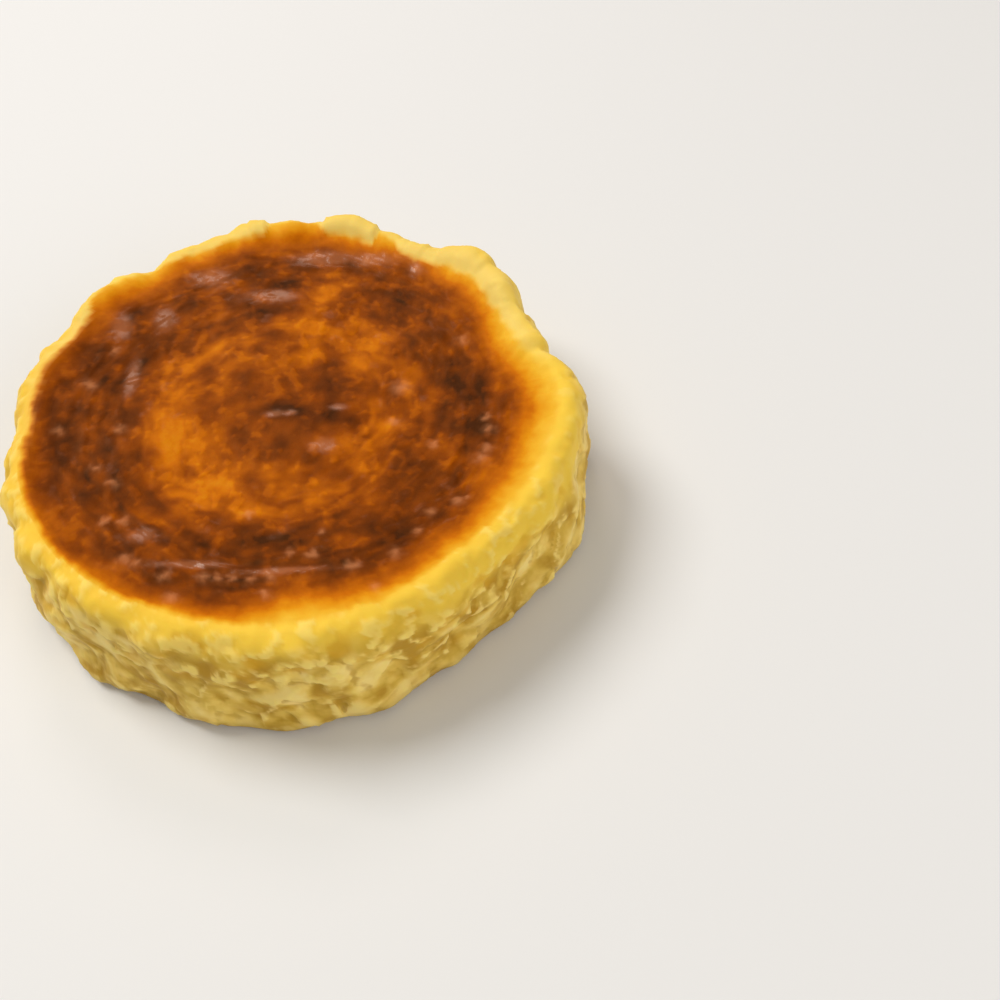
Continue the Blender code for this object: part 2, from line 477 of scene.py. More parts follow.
top_share = top_reach / top_edge()
print("points on the browned top:", (top_share < 1).sum())

# %% [markdown]
# ## The pale strip of the rim
# Next to the crest the paper kept the heat off, so a strip of rim stayed pale. It is broad at the
# back, where tabs of paper overlapped, and between and beside them the browning runs out over the
# crest. A list of angles and widths says so, and a cloud roughens the strip's inner border.

# %% Pale strip
# Angle round the cake in degrees, and how far inside the crest the strip begins, in millimetres
PALE_STRIP = (
    (-180, 0.8), (-150, 1.0), (-60, 1.0), (0, 1.0), (25, 3.0), (45, 5.0), (58, 4.0), (66, 3.0),
    (69, 0.5), (74, 0.0), (75, 4.2), (87, 3.6), (90, -1.0), (101, -1.6), (103, 2.4), (112, 1.2),
    (122, 1.6), (126, 0.8), (129, -1.0), (147, -1.0), (150, 1.6), (157, 1.4), (160, 0.4), (180, 0.4),
)
STRIP_UNEVENNESS = 0.8
STRIP_FADE = (-1.0, 1.2)


def pale_edge():
    """1 on the crest and outside it, where the paper kept the heat off, and 0 further in."""
    width = np.interp(np.degrees(angle), *zip(*PALE_STRIP))
    uneven = STRIP_UNEVENNESS * cloud(3.0, 10, 2)
    return soft_step(*STRIP_FADE, past_crest + width + uneven)


pale_strip = pale_edge()
print("points kept pale:", (pale_strip > 0.5).sum())

# %% [markdown]
# ## Browning
# How brown each point of the top is goes into one number from 0, plain custard, to 1, nearly black.
# It starts from the rings that the oven's heat made: dark along the edge, amber half way in, darker
# again in the middle. Listed soft spots, patches, streaks and small bubbles break the rings
# up. The same number later sets both the colour and the gloss, so they always agree.

# %% Browning of the top
RING_SHARES = (0.0, 0.12, 0.25, 0.36, 0.48, 0.58, 0.68, 0.78, 0.87, 0.93, 0.98, 1.03, 1.08, 1.14, 1.22)
RING_BROWN = (0.78, 0.70, 0.65, 0.57, 0.55, 0.68, 0.77, 0.79, 0.75, 0.65, 0.47, 0.26, 0.11, 0.03, 0.0)

# Darker (+) and lighter (-) spots: x and y of the middle, x and y reach in millimetres, and strength
SPOTS = (
    (-4, 0.5, 6.5, 2.6, 0.34), (11, -3, 8, 2.4, 0.26), (9, 1.5, 4, 2.5, 0.14), (2, 11, 6, 4, 0.12),
    (-3, -9, 3, 2.5, 0.16), (-11, 33, 8, 3.5, 0.26), (-9, 43, 6, 3, 0.12), (3, -15, 6, 2, 0.10),
    (26, -26, 5, 4, 0.04), (14, -21, 6, 3, 0.12), (-5, -38, 9, 2.2, 0.20), (-14, -48, 9, 2.2, 0.14),
    (22, 48, 5, 5, 0.08), (33, 36, 4, 6, 0.08), (36, 2, 5, 8, 0.12), (43, -3, 4, 7, 0.12),
    (-40, -5, 3, 14, 0.14), (-51, 15, 4, 6, 0.10), (-52, -11, 4, 6, 0.10), (-33, 41, 5, 5, 0.06),
    (19, 3, 9, 9, 0.09), (15, -20, 12, 8, 0.06), (-38, 22, 6, 8, 0.08), (-14, 8, 5, 5, 0.08),
    (-27, -7, 4, 10, -0.18), (-18, -22, 6, 5, -0.22), (-30, 6, 4, 5, -0.10), (-20, 20, 7, 5, -0.14),
    (2, 34, 3.5, 9, -0.22), (2, 20, 4, 4, -0.12), (15, 23, 6, 4, -0.22), (22, -6, 3.5, 4, -0.18),
    (18, -12, 4, 3, -0.14), (-5, -29, 7, 3, -0.16), (5, -25, 5, 3, -0.14), (26, 6, 2.5, 3, -0.14),
    (-24, 34, 3, 7, -0.10), (9, 39, 5, 7, -0.08), (0, -17, 5, 2, -0.12), (-26, -14, 4, 3, -0.08),
    (33, -37, 8, 7, -0.10), (0, 47, 22, 6, -0.05), (41, -2, 6, 14, 0.05), (-39, 0, 7, 8, 0.14),
    (26, 41, 5, 7, 0.16), (6, -7, 4, 2.5, 0.14), (0, -28, 5, 4, -0.12), (21, -21, 5, 4, -0.10),
    (-25, -31, 6, 4, -0.09), (-35, -42, 4, 3, 0.10), (-27, 28, 5, 3, -0.07), (0, 39, 4, 4, -0.07),
    (28, 15, 4, 5, 0.12), (44, 20, 4, 5, 0.08), (-50, -8, 5, 6, 0.06),
)
LIGHTEST_SKIN = 0.34
LIGHTEST_BLEND = 0.10
PATCH_STRENGTH = 0.16
BUBBLE_PAINTED_HIGHLIGHT = 0.10
RIM_UNEVENNESS = 0.06
KEPT_PALE = 0.9
TOP_STARTS_AT = 12

bubbles = soft_step(0.15, 0.5, cloud(2.9, 61, 2))


def spot_at(middle_x, middle_y, reach_x, reach_y):
    """1 at one place of the top, fading out over the given reach both ways."""
    return np.exp(-(((x - middle_x) / reach_x) ** 2 + ((y - middle_y) / reach_y) ** 2))


def at_least(least, blend, values):
    """The values, kept above the least one without a sharp bend."""
    above = values - least
    return least + (above + np.hypot(above, blend)) / 2


def browning_map():
    """How brown each point is, from 0 to 1."""
    brown = np.interp(top_share, RING_SHARES, RING_BROWN)
    inside = 1 - soft_step(0.86, 1.04, top_share)
    for *place, strength in SPOTS:
        brown += strength * spot_at(*place) * inside
    patches = cloud(10, 6, 2) + cloud(5.2, 7, 2) + streaks(9.0, 3.0, 8, 2)
    # Small bubbles are made lighter brown as painted highlights on their raised tops
    brown += (PATCH_STRENGTH * patches - BUBBLE_PAINTED_HIGHLIGHT * bubbles) * inside
    brown = brown * (1 - inside) + at_least(LIGHTEST_SKIN, LIGHTEST_BLEND, brown) * inside
    brown += RIM_UNEVENNESS * cloud(2.4, 9) * (1 - inside) * soft_step(0, 0.2, brown)
    brown *= 1 - KEPT_PALE * pale_strip
    return np.clip(brown, 0, 1) * (z > TOP_STARTS_AT)


brown = browning_map()
print("browning: mean %.2f, most %.2f" % (brown[top_share < 1].mean(), brown.max()))

# %% [markdown]
# ## Shine
# Where fat and sugar came up, the browned skin is wet enough to mirror the light behind it. The
# larger of these spots are listed, and a weak cloud and streaks put a little gloss between
# them. This is a number for each point too, and ends at the edge of the browned top.

# %% Shiny spots
# x and y of the middle, and x and y reach, in millimetres
SHINY_SPOTS = (
    (-10, 39, 6, 2.2), (-5.5, -0.5, 2.4, 1.1), (-1.4, -0.4, 1.4, 0.9), (9.5, 1.0, 2.0, 1.1), (27, 47, 2, 3),
    (-41, 12, 1.5, 6), (7, -11, 3, 2), (2, 52, 8, 2.5), (17, 51, 6, 2.5), (-26, 45, 5, 3),
    (-46, 28, 2.5, 4), (-36, 31, 2.5, 4), (-18, -44, 8, 1), (2, -46, 9, 0.9), (-30, -36, 3, 2),
)
CLOUD_GLOSS = 0.10
STREAK_GLOSS = 0.18


def shine_map():
    """How much the skin shines, from 0 to 1."""
    shine = CLOUD_GLOSS * soft_step(0.05, 0.5, cloud(4.5, 51, 2))
    shine += STREAK_GLOSS * soft_step(0.25, 0.6, streaks(5, 2.2, 52, 2))
    for spot in SHINY_SPOTS:
        shine += spot_at(*spot)
    return np.clip(shine, 0, 1) * (1 - soft_step(0.92, 1.04, top_share))


# The shine sets the clear coat, and the shader also mixes a pinkish painted sheen into the colour from it.
shine = shine_map()
print("shine: mean %.2f on the browned top" % shine[top_share < 1].mean())

# %% [markdown]
# ## Blisters with painted glints
# Steam raised small blisters on the dark ring. They are raised a little, and a pale tan is painted
# on them as painted glints. Round dots would look like beads, so their coordinates are bent by
# clouds first, and each comes out ragged in its own way.

# %% Blisters
# x and y of the middle, and reach, in millimetres
BLISTERS = (
    (-50, 8.5, 1.5), (-54, -6, 1.1), (-43.5, -17, 1.0), (-39, -21, 1.2), (-38.5, -32, 1.0),
    (-34.5, -32, 1.1), (-32, -42.5, 1.3), (-29.5, -43.8, 1.1), (-23, -47, 1.1), (-15, -47, 1.2),
    (-12, -47.5, 0.9), (-9, -47.5, 1.1), (-5, -48, 1.0), (-1, -47.5, 1.2), (2.5, -41.5, 0.9),
    (7, -42, 1.1), (8.5, -36, 0.8),
    (16, -45.5, 1.2), (25, -43, 1.3), (29.5, -37, 0.9), (32, -31.5, 1.0), (38, -29, 1.2), (40, -28, 0.8),
    (43, -17, 1.4), (44.5, -14.5, 1.1), (45, -9, 1.2), (44.5, -5, 1.0), (24, 7, 1.9), (39, 20.5, 1.3),
    (32, -12, 1.0), (-20.5, -53, 1.3), (-1.5, -52, 1.1), (21, -51.5, 1.0), (23, -4, 1.2), (-8, -30, 1.0),
    (-40.5, -5, 1.2), (-46, 20, 1.1), (27, 46, 1.3), (14, 50, 1.2),
)
BLISTER_BEND = 0.9


def blisters_with_glints():
    """1 in the middle of each blister, and 0 away from them."""
    found = np.zeros(skin_count)
    bent_x = x + BLISTER_BEND * cloud(1.8, 54, 2)
    bent_y = y + BLISTER_BEND * cloud(1.8, 55, 2)
    for middle_x, middle_y, reach in BLISTERS:
        away = ((bent_x - middle_x) ** 2 + (bent_y - middle_y) ** 2) / reach**2
        found = np.maximum(found, np.exp(-away))
    return found


blister_and_glint_mask = blisters_with_glints()
print(len(BLISTERS), "blisters")

# %% [markdown]
# ## The skin as a mesh
# The rings and faces now become an object. It is still as smooth as the copy it was measured from.
# The relief comes next: it is gathered as one height for each point, in millimetres along its normal,
# and laid on at the end in one go, so that no part of it bends another.

# %% Bare skin


def build_mesh(name, points, faces):
    """A smooth-shaded mesh from points in metres and faces."""
    mesh = bpy.data.meshes.new(name)
    mesh.from_pydata([tuple(point) for point in points], [], faces)
    mesh.update()
    mesh.shade_smooth()
    return mesh


cake_mesh = build_mesh("cheesecake_skin", skin, skin_faces)
cake = bpy.data.objects.new("cheesecake_skin", cake_mesh)
bpy.context.scene.collection.objects.link(cake)
print("skin:", len(cake_mesh.polygons), "faces")

# %% [markdown]
# ## Relief of the wall and rim
# The wall takes the paper's folds and the flakes in full. The rim was pressed less firmly, so it gets
# a weak print of both sheets and a soft cloud. A fine crumb lies on both.

# %% Wall and rim
BROAD_DEPTH = 0.85
SMALL_DEPTH = 0.36
FLAKE_SHARE = 0.8
CRUMB_DEPTH = 0.10
RIM_BROAD_DEPTH = 0.3
RIM_SMALL_DEPTH = 0.25
RIM_CLOUD_DEPTH = 0.4

outside = soft_step(-1.5, 5, past_crest)
paper = outside * soft_step(0.2, 2.5, z)
rim = (1 - outside) * soft_step(0.96, 1.1, top_share)
relief = paper * (BROAD_DEPTH * broad + SMALL_DEPTH * small + FLAKE_SHARE * scales)
relief += rim * (RIM_BROAD_DEPTH * broad + RIM_SMALL_DEPTH * small + RIM_CLOUD_DEPTH * cloud(3.5, 31))
relief += (paper + rim) * CRUMB_DEPTH * cloud(1.1, 32)
print("wall and rim from %.2f to %.2f mm" % (relief.min(), relief.max()))

# %% [markdown]
# ## Lumps and hollows
# On the rim and the shoulder the custard is crumbly: it stands in lumps of 3 mm or so with shallow
# hollows between them, most of all in front. Each is a cloud of which only the peaks count. They are
# kept as numbers of their own, because the lumps get a cream painted highlight and the hollows a
# deeper gold painted shade.

# %% Lumps and hollows
LUMP_HEIGHT = 0.38
HOLLOW_SHARE = 0.6
LOW_ON_WALL_SHARE = 0.4
BEHIND_SHARE = 0.45


def ramp_from(least, ramp):
    """A ramp from 0 to 1, squeezed to run from the least value to 1."""
    return least + (1 - least) * ramp


in_front = soft_step(-0.2, 0.6, -np.sin(angle) - 0.3 * np.cos(angle))
high_on_wall = 1 - soft_step(11, 19, past_crest)
lump_band = soft_step(-3.5, 0.0, past_crest) * soft_step(0.3, 2.5, z)
lump_band *= ramp_from(LOW_ON_WALL_SHARE, high_on_wall) * ramp_from(BEHIND_SHARE, in_front)
lumps = soft_step(0.05, 0.45, cloud(3.4, 71, 3)) * lump_band
hollows = soft_step(0.1, 0.5, cloud(5.0, 72, 2)) * lump_band * soft_step(0, 5, past_crest)
relief += LUMP_HEIGHT * (lumps - HOLLOW_SHARE * hollows)
print("lumps cover %.0f%% of the wall and rim" % (100 * (lumps[on_wall] > 0.3).mean()))

# %% [markdown]
# ## Wrinkles of the browned top
# The browned skin set first and then sank with the custard, so it wrinkled along its edge. Streaks
# give the wrinkles, stronger near the edge and in patches. Swellings, bubbles and the pale blisters
# come on top. A dozen longer fold lines, which run along the edge for a stretch, are listed.

# %% Wrinkles
WRINKLE_DEPTH = 0.26
SWELLING_HEIGHT = 0.14
BUBBLE_HEIGHT = 0.10
RAISED_BLISTER_HEIGHT = 0.22
FOLD_WIDTH = 0.75
FOLD_SWAY = 0.5
FOLD_WAVES = 9
MIDDLE_SHARE = 0.3
SMOOTH_PATCH_SHARE = 0.35

# Distance from the middle of the browned top, start and end in degrees, and height of each fold line
FOLD_LINES = (
    (43.5, -122, -72, 0.20), (46.0, -118, -84, 0.22), (48.6, -112, -66, 0.18), (41.0, -140, -112, 0.16),
    (50.8, -128, -104, 0.14), (44.5, 168, 200, 0.16), (48.0, 150, 186, 0.16), (45.0, -40, -8, 0.14),
    (49.0, 60, 96, 0.16), (38.0, 96, 128, 0.14), (34.5, -104, -80, 0.12), (47.5, 22, 52, 0.12),
)


def stretch(begin, full, fade, end, value):
    """1 between full and fade, running out softly to 0 at begin and at end."""
    return soft_step(begin, full, value) * (1 - soft_step(fade, end, value))


on_top = 1 - soft_step(0.9, 1.06, top_share)
wrinkle_band = ramp_from(MIDDLE_SHARE, soft_step(0.5, 0.85, top_share))
wrinkle_band *= ramp_from(SMOOTH_PATCH_SHARE, soft_step(-0.3, 0.4, cloud(11, 35)))
wrinkled = wrinkle_band * WRINKLE_DEPTH * streaks(6.5, 2.3, 33, 3)
relief += on_top * (wrinkled + SWELLING_HEIGHT * cloud(3.2, 34, 2) + BUBBLE_HEIGHT * bubbles)
# The blisters are raised here, and the shader paints a pale tan on them as painted glints
relief += RAISED_BLISTER_HEIGHT * blister_and_glint_mask
for radius, start, end, height in FOLD_LINES:
    turn = (np.degrees(top_angle) - start) % 360 / (end - start)
    away = top_reach - radius - FOLD_SWAY * np.sin(FOLD_WAVES * top_angle + radius)
    fold = np.exp(-((away / FOLD_WIDTH) ** 2)) * stretch(0, 0.2, 0.8, 1, turn)
    relief += on_top * height * fold
print("wrinkles up to %.2f mm" % wrinkled.max())

# %% [markdown]
# ## Tabs of the rear crest
# At the back, cuts and overlaps in the paper left tabs of custard with crisp ends, and the line of
# the rim steps in and out beside them. The solid has the larger of these steps. Here the rim is moved
# by a millimetre or two to where the real one lies, and the tabs get ends as sharp as the mesh can
# draw.

# %% Rim and tabs
# Degrees, half width in degrees, and millimetres in (-) or out (+)
RIM_MOVES = (
    (37, 8, 2.0), (120, 6, -1.6), (5, 7, -1.2), (150, 6, -0.8), (132, 5, -0.8), (96, 7, 0.8), (18, 4, 0.8),
)

# Start and end in degrees, and height
TABS = ((45, 57, 0.8), (61, 67.5, 0.5), (75, 88, 1.1), (102, 106, 0.8), (148, 153, 0.5))
TAB_END = 0.5

for middle, half_width, move in RIM_MOVES:
    share = soft_step(0, 1, 1 - np.abs(turn_from(turned, middle)) / half_width)
    relief += move * share * stretch(-6, -1, 5, 14, past_crest)
for start, end, push in TABS:
    tab = stretch(start - TAB_END, start + TAB_END, end - TAB_END, end + TAB_END, turned)
    relief += push * tab * stretch(-4.5, -1.5, 3, 9, past_crest)
print("relief from %.2f to %.2f mm" % (relief.min(), relief.max()))

# %% [markdown]
# ## Lay on the relief
# A displace modifier would read its heights from a texture or a vertex group. Here they are already
# worked out for each point, so each point is simply moved along its own normal. None of the wall may
# go below the ground that the cake stands on.

# %% Move the points
CLEAR_OF_GROUND = 0.05 * MM


def normals_of(mesh):
    """The normals of a mesh's points, one row each."""
    found = np.zeros(len(mesh.vertices) * 3, np.float32)
    mesh.vertex_normals.foreach_get("vector", found)
    return found.reshape(-1, 3).astype(float)


moved = skin.copy()
moved[:skin_count] += normals_of(cake_mesh)[:skin_count] * (relief * MM)[:, None]
moved[:skin_count, 2] = np.maximum(moved[:skin_count, 2], CLEAR_OF_GROUND)
cake_mesh.vertices.foreach_set("co", moved.astype(np.float32).ravel())
cake_mesh.update()
print("height of the cake: %.1f mm" % (moved[:, 2].max() / MM))

# %% [markdown]
# ## What stands out
# Creases of the wall get painted shade and ridges painted highlights. To tell them apart, the relief is
# averaged over a few points each way, and the average is taken off the relief itself. What is left
# is above zero on ridges and below it in creases, whatever the broad folds do.

# %% Ridges and creases
RIDGE_REACH = 3


def blurred(values, reach):
    """Values of the rim and wall, averaged over the points up to a few steps away in both directions."""
    grid = values[on_wall].reshape(-1, AROUND)
    grid = np.pad(grid, ((reach, reach), (0, 0)), "edge")
    grid = sum(np.roll(grid, shift, 0) for shift in range(-reach, reach + 1)) / (2 * reach + 1)
    grid = sum(np.roll(grid, shift, 1) for shift in range(-reach, reach + 1)) / (2 * reach + 1)
    result = np.zeros(skin_count)
    result[on_wall] = grid[reach:-reach].ravel()
    return result


standing_out = relief - blurred(relief, RIDGE_REACH)
highest, lowest = standing_out[on_wall].max(), standing_out[on_wall].min()
print("ridges up to %.2f mm, creases down to %.2f mm" % (highest, lowest))

# %% [markdown]
# ## Hand the numbers to the shader
# A mesh attribute carries a number for each point into the material. A vertex colour would hold only
# three of them, and without names. Some numbers change by side first: the pale strip shows cream
# only towards the back, the rim's yellow is carried further down the right wall as painted light, and
# the front right of the wall is darker as painted shade. The foot gets painted shade all round.

# %% Attributes
# Where each side begins, is full, fades and ends, in degrees round the cake
RIGHT_SIDE = (285, 312, 350, 359)
FRONT_RIGHT = (275, 295, 315, 335)
BACK_SIDE = (5, 25, 150, 210)
# How much further the rim's yellow runs down the right wall, in millimetres, as painted light
RIGHT_PAINTED_LIGHT_REACH = 4.0
# How much darker the front right of the wall is, as painted shade
FRONT_RIGHT_PAINTED_SHADE = 0.28
BROAD_TINT_SHARE = 0.7
SMALL_TINT_SHARE = 0.6

tints = blurred(BROAD_TINT_SHARE * broad_tint + SMALL_TINT_SHARE * small_tint, 1)
numbers = {
    "browning": brown,
    "folds": standing_out,
    # random tone of each shard, darker at the front right as painted shade
    "shard": tints - FRONT_RIGHT_PAINTED_SHADE * stretch(*FRONT_RIGHT, turned),
    # past the crest, shifted on the right so that the rim's yellow runs lower there as painted light
    "down_wall": past_crest - RIGHT_PAINTED_LIGHT_REACH * stretch(*RIGHT_SIDE, turned),
    # painted shade at the foot, darkest at the ground
    "foot": 1 - soft_step(0.5, 5.5, z),
    "pale_edge": pale_strip * (1 - soft_step(-2, 5, past_crest)) * stretch(*BACK_SIDE, turned),
    # gloss for the coat, and where the pinkish painted sheen goes
    "shine": shine,
    "blisters": blister_and_glint_mask,
    "lumps": lumps,
    "hollows": hollows,
}


def store(mesh, name, values):
    """Keeps one number for each point. The points of the base, which have none, get 0."""
    full = np.zeros(len(mesh.vertices), np.float32)
    full[: len(values)] = values
    mesh.attributes.new(name, "FLOAT", "POINT").data.foreach_set("value", full)


for name, values in numbers.items():
    store(cake_mesh, name, values)
print("attributes:", ", ".join(numbers))

# %% [markdown]
# ## Sums for shaders
# Nodes could be added and linked one by one, but a sum of five terms then takes twenty lines. `Wire`
# wraps an output socket instead, and adding, subtracting or multiplying wires adds the Math nodes
# that do it.

# %% Wires


class Wire:
    """An output socket that sums can be written with."""

    def __init__(self, finish, socket):
        self.finish = finish
        self.socket = socket

    def reckon(self, operation, *values):
        """A Math node over wires and numbers."""
        return self.finish.add("ShaderNodeMath", {"operation": operation}, dict(enumerate(values)))

    def __add__(self, other):
        return self.reckon("ADD", self, other)

    __radd__ = __add__

    def __sub__(self, other):
        return self.reckon("SUBTRACT", self, other)

    def __rsub__(self, other):
        return self.reckon("SUBTRACT", other, self)

    def __mul__(self, other):
        return self.reckon("MULTIPLY", self, other)

    __rmul__ = __mul__

    def between(self, low, high):
        """0 below low and 1 above high, softly."""
        settings = {"interpolation_type": "SMOOTHSTEP"}
        values = {"Value": self, "From Min": low, "From Max": high}
        return self.finish.add("ShaderNodeMapRange", settings, values)


print("wires can be added, subtracted, multiplied and ramped")

# %% [markdown]
# ## One material at a time
# `Finish` holds one material and adds any other node by its type: its settings first, then the
# values or wires of its sockets. Its short methods cover the nodes that the cake needs more than
# once. Colours are mixed by Mix nodes, because a Math node would turn them grey.

# %% Finishes


class Finish:
    """One material, and the way to add nodes to it."""

    def __init__(self, name):
        self.material = bpy.data.materials.new(name)
        self.material.use_nodes = True
        self.tree = self.material.node_tree
        self.shader = self.tree.nodes["Principled BSDF"]

    def feed(self, socket, value):
        """Links a wire to a socket, or sets the socket to a plain value."""
        if isinstance(value, Wire):
            self.tree.links.new(value.socket, socket)
        else:
            socket.default_value = value

    def add(self, kind, settings=None, values=None, output=0):
        """Adds a node, sets it up, feeds its sockets and gives one of its outputs as a wire."""
        node = self.tree.nodes.new(kind)
        for name, setting in (settings or {}).items():
            if name == "stops":
                self.set_stops(node.color_ramp, setting)
            else:
                setattr(node, name, setting)
        for name, value in (values or {}).items():
            self.feed(node.inputs[name], value)
        return Wire(self, node.outputs[output])

    def set_stops(self, ramp, stops):
        while len(ramp.elements) < len(stops):
            ramp.elements.new(1.0)
        for element, (place, colour) in zip(ramp.elements, stops):
            element.position = place
            element.color = colour

    def ramp(self, stops, share):
        return self.add("ShaderNodeValToRGB", {"stops": stops}, {"Fac": share})

    def attribute(self, name):
        return self.add("ShaderNodeAttribute", {"attribute_name": name}, output="Fac")

    def speckle(self, size, detail=3.0, roughness=0.6):
        """Noise from 0 to 1 with grains of about the given size in metres."""
        place = self.add("ShaderNodeTexCoord", output="Object")
        values = {"Vector": place, "Scale": 1 / size, "Detail": detail, "Roughness": roughness}
        return self.add("ShaderNodeTexNoise", None, values)

    def mix(self, share, first, second):
        """The first colour where share is 0 and the second where it is 1: sockets 6 and 7 of the node."""
        values = {0: share, 6: first, 7: second}
        return self.add("ShaderNodeMix", {"data_type": "RGBA"}, values, output=2)


print("finishes can add ramps, attributes, speckles and mixes")

# %% [markdown]
# ## Colours as they look
# A screen's numbers aren't a shader's, because screens spend more of their steps on dark tones. So
# colours are written here as they look, and turned into the shader's linear numbers.

# %% Colours as seen


def seen(red, green, blue):
    """A colour as it looks on a screen, 0 to 255, turned into the linear numbers that shaders use."""
    shares = [channel / 255 for channel in (red, green, blue)]
    linear = [c / 12.92 if c <= 0.04 else ((c + 0.055) / 1.055) ** 2.4 for c in shares]
    return (*linear, 1.0)


print("mid grey in linear numbers: %.3f" % seen(128, 128, 128)[0])

# %% [markdown]
# ## The browned skin's colours
# The browned skin and the rim share one run of colours: butter yellow, deeper yellow, orange where
# the browning starts, then amber, brown and nearly black. A colour ramp over the browning gives it,
# and a fine grain moves it a little so that no border is clean. Where the skin shines, a pinker tan
# is mixed in as painted sheen, and on the blisters as painted glints, since the ramp can't give it.
# The pale strip is mixed in last.

# %% Top of the cake
BROWNING_STOPS = (
    (0.00, seen(250, 211, 78)),
    (0.12, seen(238, 181, 46)),
    (0.26, seen(226, 148, 16)),
    (0.40, seen(203, 111, 3)),
    (0.52, seen(175, 89, 2)),
    (0.66, seen(142, 66, 2)),
    (0.80, seen(111, 49, 3)),
    (0.92, seen(89, 38, 4)),
    (1.00, seen(65, 28, 5)),
)
# Pinkish tan painted as sheen where the skin shines
PAINTED_SHEEN_TAN = seen(178, 107, 68)
# Pale tan painted on the blisters as glints
BLISTER_PAINTED_GLINT = seen(214, 138, 90)
PALE_LEMON = seen(240, 214, 126)
GRAIN_IN_BROWN = 0.12
PAINTED_SHEEN_SHARE = 0.5
BLISTER_GLINT_SHARE = 0.5
LEMON_SHARE = 0.75


def top_colour(finish, brown, sheen, grain):
    """The colour of the browned top and the rim."""
    fine_brown = brown + grain * GRAIN_IN_BROWN * brown.between(0.05, 0.4)
    top = finish.ramp(BROWNING_STOPS, fine_brown)
    # Painted sheen where the skin shines
    top = finish.mix(sheen * PAINTED_SHEEN_SHARE, top, PAINTED_SHEEN_TAN)
    # Painted glints on the blisters
    top = finish.mix(finish.attribute("blisters") * BLISTER_GLINT_SHARE, top, BLISTER_PAINTED_GLINT)
    return finish.mix(finish.attribute("pale_edge") * LEMON_SHARE, top, PALE_LEMON)


print(len(BROWNING_STOPS), "browns and yellows")

# %% [markdown]
# ## The wall's colours
# Each shard of the wall has its own tone from tan to cream, from the tint that it was given and a
# soft mottle, and the front right is darker as painted shade. Creases also get a deeper olive as
# painted shade and ridges a paler cream as painted highlights, on top of the relief's own shading.

# %% Side of the cake
WALL_STOPS = (
    (0.00, seen(194, 152, 54)),
    (0.35, seen(220, 184, 80)),
    (0.65, seen(241, 208, 108)),
    (1.00, seen(255, 227, 140)),
)
CREASE_PAINTED_SHADE = seen(184, 142, 44)
RIDGE_PAINTED_HIGHLIGHT = seen(255, 228, 136)
MIDDLE_TONE = 0.5
SHARD_CONTRAST = 0.6
CREASE_SHADE_SHARE = 0.6
RIDGE_HIGHLIGHT_SHARE = 0.8
GRAIN_ON_RIDGES = 0.1

# From where to where the tints set in, in millimetres below or above what is around
CREASE_DEPTHS = (0.05, 0.32)
RIDGE_HEIGHTS = (0.07, 0.32)


def wall_colour(finish, grain, mottle):
    """The colour of the wall."""
    folds = finish.attribute("folds")
    # The shard tone also carries the painted shade of the front right
    tone = MIDDLE_TONE + finish.attribute("shard") * SHARD_CONTRAST + mottle
    side = finish.ramp(WALL_STOPS, tone)
    # Painted shade in the creases, then painted highlights on the ridges
    crease = (0.0 - folds).between(*CREASE_DEPTHS)
    side = finish.mix(crease * CREASE_SHADE_SHARE, side, CREASE_PAINTED_SHADE)
    ridge = (folds + grain * GRAIN_ON_RIDGES).between(*RIDGE_HEIGHTS)
    return finish.mix(ridge * RIDGE_HIGHLIGHT_SHARE, side, RIDGE_PAINTED_HIGHLIGHT)


print(len(WALL_STOPS), "tones of the wall")

# %% [markdown]
# ## Top and wall in one
# One material covers the cake, because its colours run into each other. The rim's yellow gives way to
# the wall's tans a few millimetres past the crest, and the mottle makes that border wander. Lumps get
# painted highlights and hollows painted shade on the pale custard but not on the browned skin, and
# the painted shade at the foot comes last.

# %% Colours run together
# Painted highlight for the lumps and painted shade for the hollows
LUMP_PAINTED_HIGHLIGHT = seen(255, 226, 122)
HOLLOW_PAINTED_SHADE = seen(224, 172, 48)
# Painted shade at the foot
FOOT_PAINTED_SHADE = seen(158, 124, 46)
WALL_BORDER = (2.5, 10.0)
BORDER_WANDER = 6.0
HOLLOW_SHADE_SHARE = 0.6
LUMP_HIGHLIGHT_SHARE = 0.7
FOOT_SHADE_SHARE = 0.6


def cake_colour(finish, brown, sheen, grain, mottle):
    """The colours of the top and the wall, run together, with what tints both."""
    # The border lies lower on the right, where the rim's yellow is carried down as painted light
    wall_share = (finish.attribute("down_wall") + mottle * BORDER_WANDER).between(*WALL_BORDER)
    top = top_colour(finish, brown, sheen, grain)
    colour = finish.mix(wall_share, top, wall_colour(finish, grain, mottle))
    pale_custard = 1.0 - brown.between(0.02, 0.12)
    # Painted shade in the hollows and painted highlights on the lumps, on pale custard only
    colour = finish.mix(finish.attribute("hollows") * pale_custard * HOLLOW_SHADE_SHARE, colour, HOLLOW_PAINTED_SHADE)
    colour = finish.mix(finish.attribute("lumps") * pale_custard * LUMP_HIGHLIGHT_SHARE, colour, LUMP_PAINTED_HIGHLIGHT)
    # Painted shade at the foot, darkest at the ground
    return finish.mix(finish.attribute("foot") * FOOT_SHADE_SHARE, colour, FOOT_PAINTED_SHADE)


print("the wall's colours set in %.1f to %.1f mm past the crest" % WALL_BORDER)

# %% [markdown]
# ## The custard and its browned skin
# Baked custard is dull, lets a little light into it, and warms what it reflects with its own yellow.
# The browned skin is like caramel, so it carries a thin clear coat where it shines. The shine is cut
# off below a low level, since even a trace of coat turns the dark browns grey. Curds finer than the
# mesh are a bump.

